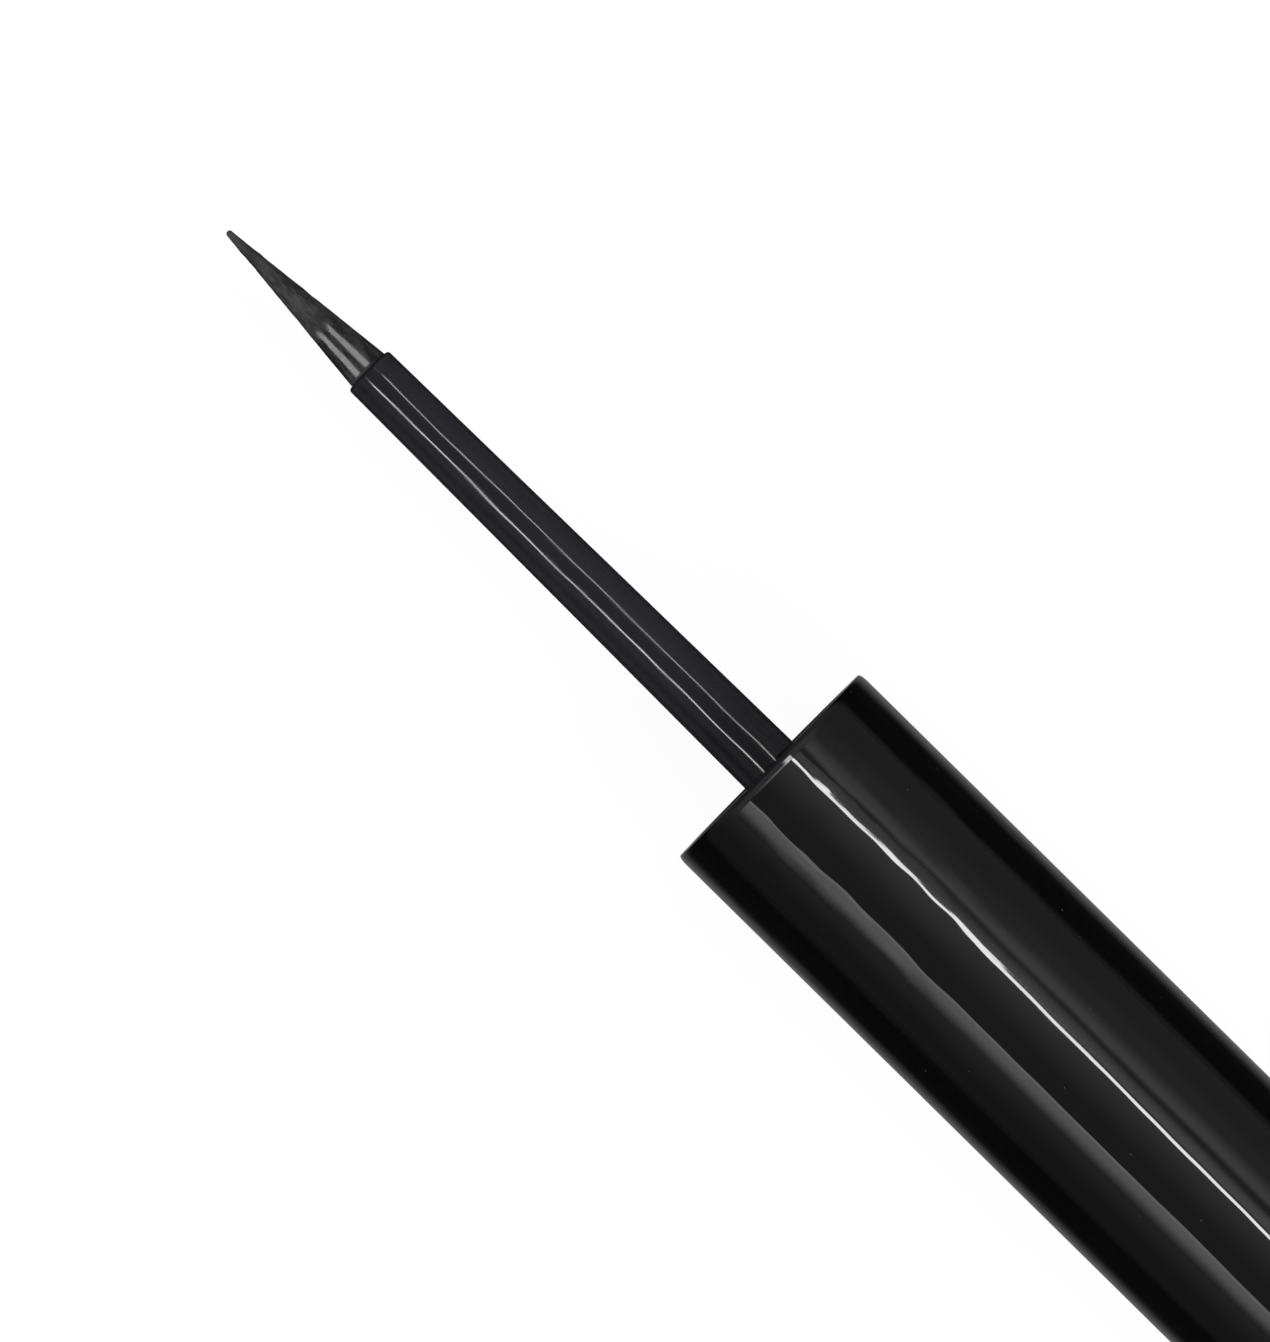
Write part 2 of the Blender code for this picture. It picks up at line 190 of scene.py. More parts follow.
class Graph:
    """A node tree with one method for adding any node."""

    # The colour sockets of a Mix node, whose names its sockets for numbers and vectors have as well.
    UNDER, OVER, MIXED = 6, 7, 2

    def __init__(self, tree: bpy.types.NodeTree) -> None:
        """Empty the tree and keep it."""
        tree.nodes.clear()
        self.tree = tree

    def node(
        self, kind: str, settings: Settings | None = None, inputs: Inputs | None = None
    ) -> bpy.types.Node:
        """Add a node, then give it settings, then values or links.

        Args:
            kind: The node's type, such as ShaderNodeMath.
            settings: Its properties.
            inputs: Values, or signals to link, by socket name or number.

        Returns:
            The node.
        """
        node = self.tree.nodes.new(kind)
        for name, value in (settings or {}).items():
            setattr(node, name, value)
        for name, value in (inputs or {}).items():
            if isinstance(value, Signal):
                self.tree.links.new(value.socket, node.inputs[name])
            else:
                node.inputs[name].default_value = value
        return node

    def add(
        self,
        kind: str,
        settings: Settings | None = None,
        inputs: Inputs | None = None,
        output: str | int = 0,
    ) -> Signal:
        """Add a node as above, and return one of its outputs as a signal."""
        return Signal(self, self.node(kind, settings, inputs).outputs[output])

    def place(self) -> Signal:
        """Return the object coordinates, which are metres in the frame."""
        return self.add("ShaderNodeTexCoord", output="Object")

    def parts(self, vector: Signal) -> tuple[Signal, Signal, Signal]:
        """Split a vector into its three numbers."""
        split = self.node("ShaderNodeSeparateXYZ", inputs={"Vector": vector})
        return tuple(Signal(self, number) for number in split.outputs)

    def reach(self) -> Signal:
        """Return the distance from the long axis in metres."""
        _, across, up = self.parts(self.place())
        rise = up - AXIS.z
        return self.add("ShaderNodeMath", {"operation": "SQRT"}, {0: across * across + rise * rise})

    def grain(self, cell: Cell | float, detail: float = 2.0, roughness: float = 0.5) -> Signal:
        """Return fractal noise on the object coordinates, counted from the axis.

        Args:
            cell: The size of a feature along X, Y and Z, or one size for all three.
            detail: How many finer layers the noise has.
            roughness: How much each finer layer counts.

        Returns:
            The noise, from 0 to 1.
        """
        sizes = cell if isinstance(cell, tuple) else (cell,) * 3
        spot = self.add(
            "ShaderNodeMapping",
            {"vector_type": "TEXTURE"},
            {"Vector": self.place(), "Location": tuple(AXIS), "Scale": sizes},
        )
        return self.add(
            "ShaderNodeTexNoise",
            {"normalize": True},
            {"Vector": spot, "Scale": 1.0, "Detail": detail, "Roughness": roughness},
        )

    def tint(self, amount: Signal, under: Colour | Signal, over: Colour) -> Signal:
        """Lay a colour over another one by an amount."""
        base = under if isinstance(under, Signal) else (*under, 1.0)
        return self.add(
            "ShaderNodeMix",
            {"data_type": "RGBA"},
            {0: amount, self.UNDER: base, self.OVER: (*over, 1.0)},
            output=self.MIXED,
        )

    def bump(self, height: Signal, depth: float, fine: Signal | None = None) -> Signal:
        """Turn a height into a normal.

        Args:
            height: The height, where 1 is the whole depth.
            depth: The depth in metres.
            fine: The normal of a finer pattern, which stays on top.

        Returns:
            The normal.
        """
        inputs: Inputs = {"Height": height, "Distance": depth}
        if fine is not None:
            inputs["Normal"] = fine
        return self.add("ShaderNodeBump", inputs=inputs)

    def dress(self, inputs: Inputs) -> None:
        """Show a Principled shader with the given values and links on the surface."""
        self.surface(self.add("ShaderNodeBsdfPrincipled", inputs=inputs))

    def shine(self, colour: Signal, strength: float) -> None:
        """Add a glow to what lies behind the surface."""
        glow = self.add("ShaderNodeEmission", inputs={"Color": colour, "Strength": strength})
        clear = self.add("ShaderNodeBsdfTransparent")
        self.surface(self.add("ShaderNodeAddShader", inputs={0: clear, 1: glow}))

    def surface(self, shader: Signal) -> None:
        """Show a shader on the surface."""
        self.node("ShaderNodeOutputMaterial", inputs={"Surface": shader})


def new_material(name: str) -> tuple[bpy.types.Material, Graph]:
    """Make a material.

    Args:
        name: Its name.

    Returns:
        The material and its empty graph.
    """
    material = bpy.data.materials.new(name)
    material.use_nodes = True
    return material, Graph(material.node_tree)


@dataclass(frozen=True)
class GlossBlack:
    """High-gloss black moulding with faint smudges, a few specks of dust and the waves of the mould.

    The waves rise just beside the rim of the cap and calm down over the length of its inner cap. The
    ripples on them fade sooner.
    """

    slot: str = "gloss_black"
    deep: Colour = (0.0013, 0.0013, 0.0013)
    raised: Colour = (0.0022, 0.0022, 0.0022)
    gloss: float = 0.025
    ior: float = 1.5
    smudge_cell: Cell = (9 * MM, 4 * MM, 4 * MM)
    smudge_shares: Pair = (0.42, 0.8)
    smudge_dulling: float = 0.035
    dust: Colour = (0.04, 0.04, 0.04)
    dust_cell: float = 0.3 * MM
    dust_shares: Pair = (0.805, 0.83)
    speck_cell: Cell = (0.22 * MM, 0.16 * MM, 0.16 * MM)
    speck_depth: float = 0.00006 * MM
    wave_cell: Cell = (4.0 * MM, 2.2 * MM, 2.2 * MM)
    wave_depth: float = 0.058 * MM
    wave_rise: Pair = (0.5 * MM, 3.0 * MM)
    calm_share: float = 0.20
    ripple_cell: Cell = (2.0 * MM, 0.6 * MM, 0.6 * MM)
    ripple_share: float = 0.19
    ripple_fade: Pair = (11 * MM, 16 * MM)

    def build(self) -> bpy.types.Material:
        """Make the material.

        Returns:
            The material.
        """
        material, graph = new_material(self.slot)
        smudges = graph.grain(self.smudge_cell, detail=5.0, roughness=0.6).step(*self.smudge_shares)
        dust = graph.grain(self.dust_cell, detail=1.0).step(*self.dust_shares)
        specks = graph.bump(graph.grain(self.speck_cell), self.speck_depth)
        graph.dress(
            {
                "Base Color": graph.tint(dust, graph.tint(smudges, self.deep, self.raised), self.dust),
                "Roughness": self.gloss + smudges * self.smudge_dulling,
                "IOR": self.ior,
                "Normal": graph.bump(self._waves(graph), self.wave_depth, specks),
            }
        )
        return material

    def _waves(self, graph: Graph) -> Signal:
        """Work out the height of the waves with their ripples.

        Args:
            graph: The graph of the material.

        Returns:
            The height, which is 0 where the wall is true.
        """
        along, _, _ = graph.parts(graph.place())
        away = abs(along - CAP.start)
        calm = away.step(0.0, Span.of("inner_cap").end - CAP.start)
        still = away.step(*self.ripple_fade)
        waves = (graph.grain(self.wave_cell, detail=1.0) - NOISE_MEAN) * (1 - calm * (1 - self.calm_share))
        ripples = (graph.grain(self.ripple_cell, detail=0.0) - NOISE_MEAN) * (1 - still) * self.ripple_share
        return (waves + ripples) * away.step(*self.wave_rise)


@dataclass(frozen=True)
class StemBlack:
    """The bluish black of the moulded stem, slightly wavy, with fine flow lines along it."""

    slot: str = "stem_black"
    deep: Colour = (0.0105, 0.0097, 0.0152)
    raised: Colour = (0.0155, 0.0143, 0.0215)
    gloss: float = 0.05
    ior: float = 1.5
    cloud_cell: Cell = (2.6 * MM, 0.9 * MM, 0.9 * MM)
    flow_cell: Cell = (3.5 * MM, 0.12 * MM, 0.12 * MM)
    flow_dulling: float = 0.05
    flow_depth: float = 0.0006 * MM
    patch_cell: Cell = (3.2 * MM, 0.8 * MM, 0.8 * MM)
    patch_shares: Pair = (0.42, 0.62)
    patch_dulling: float = 0.09
    wave_cell: Cell = (4.5 * MM, 1.1 * MM, 1.1 * MM)
    wave_depth: float = 0.05 * MM

    def build(self) -> bpy.types.Material:
        """Make the material.

        Returns:
            The material.
        """
        material, graph = new_material(self.slot)
        clouds = graph.grain(self.cloud_cell, detail=4.0, roughness=0.6)
        flow = graph.grain(self.flow_cell, detail=3.0, roughness=0.55)
        patches = graph.grain(self.patch_cell, detail=3.0, roughness=0.6).step(*self.patch_shares)
        waves = graph.grain(self.wave_cell, detail=1.0)
        graph.dress(
            {
                "Base Color": graph.tint(clouds, self.deep, self.raised),
                "Roughness": self.gloss + flow * self.flow_dulling + patches * self.patch_dulling,
                "IOR": self.ior,
                "Normal": graph.bump(waves, self.wave_depth, graph.bump(flow, self.flow_depth)),
            }
        )
        return material


@dataclass(frozen=True)
class InkedFelt:
    """Felt soaked with ink: wet and glossier towards the stem, with fibres that run to the point.

    The wet shares are of the length of the cone, counted from the stem.
    """

    slot: str = "inked_felt"
    deep: Colour = (0.004, 0.004, 0.004)
    raised: Colour = (0.040, 0.040, 0.040)
    mottle_shares: Pair = (0.38, 0.66)
    wet: float = 0.15
    dry: float = 0.62
    ior: float = 1.45
    fibre_cell: Cell = (1.6 * MM, 0.07 * MM, 0.07 * MM)
    fibre_dulling: float = 0.08
    fibre_depth: float = 0.006 * MM
    wet_relief_share: float = 0.06
    cloud_cell: Cell = (1.2 * MM, 0.5 * MM, 0.5 * MM)
    cloud_relief_share: float = 4.0
    wet_shares: Pair = (0.27, 0.33)
    wet_wander: float = 1.6 * MM
    seat: Pair = (0.03 * MM, 0.20 * MM)

    def build(self) -> bpy.types.Material:
        """Make the material.

        Returns:
            The material.
        """
        material, graph = new_material(self.slot)
        fibres = graph.grain(self.fibre_cell, detail=3.0, roughness=0.6)
        clouds = graph.grain(self.cloud_cell, detail=3.0, roughness=0.6)
        dryness = self._dryness(graph, clouds)
        fibre_relief = self.wet_relief_share + dryness * (1 - self.wet_relief_share)
        relief = fibres * fibre_relief + clouds * dryness * self.cloud_relief_share
        mottling = ((fibres + clouds) / 2).step(*self.mottle_shares)
        graph.dress(
            {
                "Base Color": graph.tint(mottling, self.deep, self.raised),
                "Roughness": self.wet + dryness * (self.dry - self.wet) + fibres * self.fibre_dulling,
                "IOR": self.ior,
                "Normal": graph.bump(relief, self.fibre_depth),
            }
        )
        return material

    def _dryness(self, graph: Graph, clouds: Signal) -> Signal:
        """Work out how dry the felt is, with an edge that wanders with the clouds.

        Args:
            graph: The graph of the material.
            clouds: The cloudy noise.

        Returns:
            0 where the felt is wet, and 1 where it is dry.
        """
        stem_end = Span.of("stem").start
        length = stem_end - Span.of("felt_tip").start
        along, _, _ = graph.parts(graph.place())
        height = stem_end - along
        ebb = height + (clouds - NOISE_MEAN) * self.wet_wander
        dried = ebb.step(*(length * share for share in self.wet_shares))
        return 1 - height.step(*self.seat) * (1 - dried)


@dataclass(frozen=True)
class MouldedPlastic:
    """Plain moulded plastic with a cloudy colour and a satin grain, stained with ink where it has a share."""

    slot: str
    deep: Colour
    raised: Colour
    roughness: float
    grain_depth: float
    grain_cell: float = 0.12 * MM
    grain_dulling: float = 0.08
    cloud_cell: float = 2.2 * MM
    ior: float = 1.49
    stain: Colour = (0.012, 0.012, 0.013)
    stain_share: float = 0.0
    stain_core_share: float = 0.8
    stain_gloss_share: float = 0.5
    stain_radius: float = 0.0
    stain_pull: float = 0.6

    def build(self) -> bpy.types.Material:
        """Make the material.

        Returns:
            The material.
        """
        material, graph = new_material(self.slot)
        clouds = graph.grain(self.cloud_cell, detail=4.0, roughness=0.55)
        grains = graph.grain(self.grain_cell, detail=3.0, roughness=0.6)
        colour = graph.tint(clouds, self.deep, self.raised)
        dullness = self.roughness + grains * self.grain_dulling
        if self.stain_share:
            stains = self._stains(graph, clouds)
            colour = graph.tint(stains, colour, self.stain)
            dullness = dullness - stains * self.roughness * self.stain_gloss_share
        graph.dress(
            {
                "Base Color": colour,
                "Roughness": dullness,
                "IOR": self.ior,
                "Normal": graph.bump(grains, self.grain_depth),
            }
        )
        return material

    def _stains(self, graph: Graph, clouds: Signal) -> Signal:
        """Work out where ink has dried: on the densest clouds, and within the stain radius on more.

        Args:
            graph: The graph of the material.
            clouds: The cloudy noise.

        Returns:
            0 where the plastic is clean, and 1 in the middle of a stain.
        """
        ink = clouds
        if self.stain_radius:
            ink = clouds + (1 - graph.reach() / self.stain_radius) * self.stain_pull
        return ink.step(1 - self.stain_share, 1 - self.stain_share * self.stain_core_share)


INNER_BLACK = MouldedPlastic(
    "inner_black", (0.010, 0.010, 0.011), (0.018, 0.018, 0.019), roughness=0.30, grain_depth=0.002 * MM
)
VIAL_PLASTIC = MouldedPlastic(
    "vial_plastic",
    (0.50, 0.51, 0.52),
    (0.60, 0.61, 0.62),
    roughness=0.26,
    grain_depth=0.0015 * MM,
    stain_share=0.34,
)
WIPER_PLASTIC = MouldedPlastic(
    "wiper_plastic",
    (0.58, 0.58, 0.56),
    (0.70, 0.70, 0.68),
    roughness=0.38,
    grain_depth=0.002 * MM,
    cloud_cell=1.3 * MM,
    stain_share=0.46,
    stain_radius=2.4 * MM,
)
LABEL_FILM = MouldedPlastic(
    "label_film", (0.74, 0.74, 0.74), (0.80, 0.80, 0.80), roughness=0.36, grain_depth=0.001 * MM
)
SEAL_FOAM = MouldedPlastic(
    "seal_foam",
    (0.66, 0.66, 0.64),
    (0.78, 0.78, 0.76),
    roughness=0.62,
    grain_depth=0.010 * MM,
    cloud_cell=1.3 * MM,
    stain_share=0.46,
    stain_radius=2.3 * MM,
)


@dataclass(frozen=True)
class BallSteel:
    """Polished stainless steel with fine scuffs."""

    slot: str = "ball_steel"
    deep: Colour = (0.52, 0.52, 0.54)
    raised: Colour = (0.66, 0.66, 0.67)
    polish: float = 0.10
    scuff_cell: float = 0.15 * MM
    scuff_dulling: float = 0.12
    scuff_depth: float = 0.0008 * MM

    def build(self) -> bpy.types.Material:
        """Make the material.

        Returns:
            The material.
        """
        material, graph = new_material(self.slot)
        scuffs = graph.grain(self.scuff_cell, detail=4.0, roughness=0.65)
        graph.dress(
            {
                "Base Color": graph.tint(scuffs, self.deep, self.raised),
                "Metallic": 1.0,
                "Roughness": self.polish + scuffs * self.scuff_dulling,
                "Normal": graph.bump(scuffs, self.scuff_depth),
            }
        )
        return material


Finish = GlossBlack | StemBlack | InkedFelt | MouldedPlastic | BallSteel


@dataclass
class Outline:
    """The half section of a turned piece: points of (place along the axis, radius)."""

    points: list[Vector] = field(default_factory=list)
    bend_steps: int = 10

    def to(self, x: float, r: float) -> "Outline":
        """Go straight to a point."""
        self.points.append(Vector((x, r)))
        return self

    def bend(self, x: float, r: float, leave: Leave) -> "Outline":
        """Go to a point on a quarter of an ellipse.

        Args:
            x: The end point's place along the axis.
            r: The end point's radius.
            leave: The way in which the quarter leaves the last point.

        Returns:
            This outline.
        """
        start = self.points[-1]
        end = Vector((x, r))
        if leave is Leave.ALONG:
            centre = Vector((start.x, end.y))
        else:
            centre = Vector((end.x, start.y))
        for step in range(1, self.bend_steps + 1):
            turn = math.pi / 2 * step / self.bend_steps
            self.points.append(centre + (start - centre) * math.cos(turn) + (end - centre) * math.sin(turn))
        return self

    def rise(self, x: float, r: float, soft: float) -> "Outline":
        """Go out to a radius at x, and turn along it in a soft corner."""
        return self.to(x, r - soft).bend(x + soft, r, Leave.ACROSS)

    def fall(self, x: float, r: float, soft: float) -> "Outline":
        """Go along a radius to x, and turn towards the axis in a soft corner."""
        return self.to(x - soft, r).bend(x, r - soft, Leave.ALONG)

    def run(self, x: float, r: float, steps: int) -> "Outline":
        """Go straight to a point in several equal steps."""
        start = self.points[-1]
        for step in range(1, steps + 1):
            self.points.append(start.lerp(Vector((x, r)), step / steps))
        return self


class Lathe:
    """Turns outlines round the long axis and hands the pieces to the frame."""

    MERGE = 0.0001 * MM
    SHARP = math.radians(32)

    def __init__(self) -> None:
        """Keep the materials that are already made, by slot."""
        self.materials: dict[str, bpy.types.Material] = {}

    def turn(self, outline: Outline, sides: int) -> bmesh.types.BMesh:
        """Spin an outline a full turn.

        Args:
            outline: The half section; an outline off the axis is closed on itself.
            sides: How many facets go round.

        Returns:
            A closed mesh whose faces point out.
        """
        mesh = bmesh.new()
        ring = [mesh.verts.new((point.x, point.y, CAP.height)) for point in outline.points]
        pairs = list(zip(ring, ring[1:]))
        if outline.points[0].y > 0:
            pairs.append((ring[-1], ring[0]))
        edges = [mesh.edges.new(pair) for pair in pairs]
        bmesh.ops.spin(
            mesh, geom=ring + edges, cent=AXIS, axis=(1, 0, 0), angle=math.tau, steps=sides, use_merge=True
        )
        bmesh.ops.remove_doubles(mesh, verts=mesh.verts, dist=self.MERGE)
        bmesh.ops.recalc_face_normals(mesh, faces=mesh.faces)
        return mesh

    def finish(
        self,
        name: str,
        mesh: bmesh.types.BMesh,
        body: Body,
        finish: Finish,
        node: str,
        lit: Lit = Lit.SHELLS,
    ) -> bpy.types.Object:
        """Make a piece of a mesh, dress it and give it to the frame.

        Args:
            name: The name of the piece.
            mesh: Its mesh, which is freed.
            body: The body that it rides on.
            finish: The finish that dresses it.
            node: The CAD node that it stands for.
            lit: The lamps that light it.

        Returns:
            The piece.
        """
        data = bpy.data.meshes.new(name)
        mesh.to_mesh(data)
        mesh.free()
        data.shade_smooth()
        data.set_sharp_from_angle(angle=self.SHARP)
        if finish.slot not in self.materials:
            self.materials[finish.slot] = finish.build()
        data.materials.append(self.materials[finish.slot])
        piece = bpy.data.objects.new(name, data)
        bpy.context.collection.objects.link(piece)
        lit.take(piece)
        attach(piece, body.value)
        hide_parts(node)
        LOG.info("%s: %d faces", name, len(data.polygons))
        return piece

    def join(self, piece: bpy.types.Object, ridge: bmesh.types.BMesh) -> None:
        """Join a ridge to a piece with a Boolean union, and keep the result as the piece's mesh.

        Args:
            piece: The piece that the ridge stands on.
            ridge: The ridge, which is freed.
        """
        data = bpy.data.meshes.new(piece.name + "_ridge")
        ridge.to_mesh(data)
        ridge.free()
        data.shade_smooth()
        cutter = bpy.data.objects.new(data.name, data)
        bpy.context.collection.objects.link(cutter)
        union = piece.modifiers.new("Thread", "BOOLEAN")
        union.operation = "UNION"
        union.solver = "EXACT"
        union.object = cutter
        depsgraph = bpy.context.evaluated_depsgraph_get()
        joined = bpy.data.meshes.new_from_object(piece.evaluated_get(depsgraph))
        piece.modifiers.remove(union)
        bpy.data.objects.remove(cutter, do_unlink=True)
        piece.data = joined
        joined.set_sharp_from_angle(angle=self.SHARP)


@dataclass(frozen=True)
class Thread:
    """A right-hand screw ridge of one turn, whose ends run out into the wall.

    Inside the wall the ends keep a least share of the height, because faces without an area would
    spoil the union.
    """

    pitch: float = 2.4 * MM
    root_width: float = 0.80 * MM
    crest_width: float = 0.40 * MM
    rooting: float = 0.15 * MM
    run_out_share: float = 0.10
    least_share: float = 0.02
    steps: int = 96

    def ridge(self, start: float, root: float, crest: float) -> bmesh.types.BMesh:
        """Sweep the ridge.

        Args:
            start: The place of its middle where it begins, at the lower X.
            root: The radius of the wall.
            crest: The radius of its top.

        Returns:
            A closed mesh sunk a little into the wall.
        """
        mesh = bmesh.new()
        buried = root + math.copysign(self.rooting, root - crest)
        section = [
            (-self.root_width / 2, buried),
            (self.root_width / 2, buried),
            (self.root_width / 2, root),
            (self.crest_width / 2, crest),
            (-self.crest_width / 2, crest),
            (-self.root_width / 2, root),
        ]
        ring = [mesh.verts.new((start + x, r, CAP.height)) for x, r in section]
        face = mesh.faces.new(ring)
        bmesh.ops.spin(
            mesh,
            geom=[*ring, *face.edges, face],
            cent=AXIS,
            axis=(1, 0, 0),
            dvec=(self.pitch / self.steps, 0, 0),
            angle=math.tau,
            steps=self.steps,
        )
        for vert in mesh.verts:
            self._run_out(vert, start, buried)
        bmesh.ops.recalc_face_normals(mesh, faces=mesh.faces)
        return mesh

    def _run_out(self, vert: bmesh.types.BMVert, start: float, buried: float) -> None:
        """Sink a vertex near either end towards the buried radius.

        Args:
            vert: The vertex.
            start: The place where the ridge begins.
            buried: The buried radius.
        """
        arm = Vector((vert.co.y, vert.co.z - CAP.height))
        share = (math.atan2(arm.y, arm.x) / math.tau) % 1.0
        half_step = 0.5 / self.steps
        if share < half_step and vert.co.x > start + self.pitch / 2:
            share = 1.0
        edge = max(self.least_share, min(share, 1 - share) / self.run_out_share)
        if edge < 1:
            arm = arm.normalized() * (buried + (arm.length - buried) * edge)
            vert.co.y = arm.x
            vert.co.z = arm.y + CAP.height


@dataclass
class Applicator:
    """The cap half: shell, threaded inner cap, stem and felt tip.

    The shares of the felt's swell are of the whole swell, and the dry shares are of the length of
    the cone, counted from the stem.
    """

    lathe: Lathe
    cap_wall: float = 0.95 * MM
    cap_core_wall: float = 1.6 * MM
    cap_end_wall: float = 1.2 * MM
    rim_run: float = 0.52 * MM
    rim_drop: float = 0.13 * MM
    rim_inner: float = 0.12 * MM
    end_fillet: float = 0.45 * MM
    seat_gap: float = 0.05 * MM
    inner_wall: float = 0.75 * MM
    ceiling_from_rim: float = 11.1 * MM
    ceiling: float = 1.2 * MM
    stem_hole: float = 1.92 * MM
    socket_wall: float = 1.1 * MM
    thread_from_rim: float = 3.6 * MM
    thread_depth: float = 0.5 * MM
    stem_root: float = 1.62 * MM
    stem_end: float = 1.35 * MM
    stem_chamfer: float = 0.18 * MM
    stem_bore: float = 0.90 * MM
    tip_base: float = 1.12 * MM
    tip_point: float = 0.17 * MM
    tip_shank: float = 0.72 * MM
    tip_seat: float = 0.02 * MM
    swell: float = 0.035 * MM
    swell_cell: Cell = (0.5 * MM, 0.3 * MM, 0.3 * MM)
    swell_middle: float = 0.35
    wet_swell_share: float = 0.3
    dry_shares: Pair = (0.25, 0.5)
    point_swell_share: float = 0.15
    point_swell_rise: float = 6.0
    shell_sides: int = 192
    slim_sides: int = 96
    stem_steps: int = 24
    felt_steps: int = 90

    def build_shell(self) -> None:
        """The glossy outer cap, with a rolled rim and a rounded closed end."""
        core = CAP.radius - self.cap_core_wall
        bore = CAP.radius - self.cap_wall
        step = Span.of("inner_cap").end + self.seat_gap
        inside = CAP.end - self.cap_end_wall
        outline = Outline(bend_steps=16)
        outline.to(inside, 0).to(inside, core).to(step, core).to(step, bore)
        outline.to(CAP.start + self.rim_inner, bore)
        outline.bend(CAP.start, bore + self.rim_inner, Leave.ALONG)
        outline.to(CAP.start, CAP.radius - self.rim_drop)
        outline.bend(CAP.start + self.rim_run, CAP.radius, Leave.ACROSS)
        outline.fall(CAP.end, CAP.radius, self.end_fillet).to(CAP.end, 0)
        mesh = self.lathe.turn(outline, self.shell_sides)
        self.lathe.finish("cap_shell", mesh, Body.APPLICATOR, GlossBlack(), "outer_cap")

    def build_inner_cap(self) -> None:
        """The threaded inner cap, which shows in the mouth of the shell."""
        span = Span.of("inner_cap")
        bore = span.radius - self.inner_wall
        ceiling = CAP.start + self.ceiling_from_rim
        boss = self.stem_hole + self.socket_wall
        soft = self.rim_inner
        outline = Outline(bend_steps=5)
        outline.to(span.end, 0).to(span.end, boss).to(ceiling + self.ceiling, boss)
        outline.to(ceiling + self.ceiling, span.radius).to(span.start + soft, span.radius)
        outline.bend(span.start, span.radius - soft, Leave.ALONG)
        outline.to(span.start, bore + soft).bend(span.start + soft, bore, Leave.ACROSS)
        outline.to(ceiling, bore).to(ceiling, self.stem_hole)
        outline.to(span.end - self.socket_wall, self.stem_hole).to(span.end - self.socket_wall, 0)
        mesh = self.lathe.turn(outline, self.slim_sides)
        piece = self.lathe.finish("threaded_inner_cap", mesh, Body.APPLICATOR, INNER_BLACK, "inner_cap")
        start = CAP.start + self.thread_from_rim
        self.lathe.join(piece, Thread().ridge(start, bore, bore - self.thread_depth))

    def build_stem(self) -> None:
        """The tapered stem, with a small chamfer round the seat of the tip."""
        span = Span.of("stem")
        tip = Span.of("felt_tip")
        outline = Outline()
        bore_end = tip.end + self.seat_gap
        outline.to(bore_end, 0).to(bore_end, self.stem_bore).to(span.start, self.stem_bore)
        outline.rise(span.start, self.stem_end, self.stem_chamfer)
        outline.run(CAP.start, self.stem_root, self.stem_steps)
        outline.to(span.end, self.stem_root).to(span.end, 0)
        mesh = self.lathe.turn(outline, self.slim_sides)
        self.lathe.finish("applicator_stem", mesh, Body.APPLICATOR, StemBlack(), "stem", Lit.STEM)

    def build_felt_tip(self) -> None:
        """The felt cone, slightly uneven along its fibres, with its shank in the stem."""
        span = Span.of("felt_tip")
        base = Span.of("stem").start - self.tip_seat
        outline = Outline(bend_steps=8)
        outline.to(span.end, 0).to(span.end, self.tip_shank).to(base, self.tip_shank)
        outline.to(base, self.tip_base)
        outline.run(span.start + self.tip_point, self.tip_point, self.felt_steps)
        outline.bend(span.start, 0, Leave.ALONG)
        mesh = self.lathe.turn(outline, self.slim_sides)
        for vert in mesh.verts:
            self._ruffle(vert, base, base - span.start)
        self.lathe.finish("felt_point", mesh, Body.APPLICATOR, InkedFelt(), "felt_tip", Lit.FELT)

    def _ruffle(self, vert: bmesh.types.BMVert, base: float, length: float) -> None:
        """Move a vertex of the cone in or out a little, as pressed fibres do.

        Args:
            vert: The vertex.
            base: The place of the base of the cone.
            length: The length of the cone.
        """
        arm = Vector((0, vert.co.y, vert.co.z - CAP.height))
        share = (base - vert.co.x) / length
        if share <= 0 or arm.length == 0:
            return
        spot = Vector([place / cell for place, cell in zip(vert.co, self.swell_cell)])
        dry_from, dry_to = self.dry_shares
        dryness = min(1.0, max(self.wet_swell_share, (share - dry_from) / (dry_to - dry_from)))
        at_base = min(1.0, share / dry_from)
        at_point = min(1.0, (1 - share) * self.point_swell_rise + self.point_swell_share)
        swell = self.swell * dryness * at_base * at_point
        vert.co += arm.normalized() * (noise.noise(spot) - self.swell_middle) * swell

    def build(self) -> None:
        """Build and dress every piece of the cap half."""
        self.build_shell()
        self.build_inner_cap()
        self.build_stem()
        self.build_felt_tip()


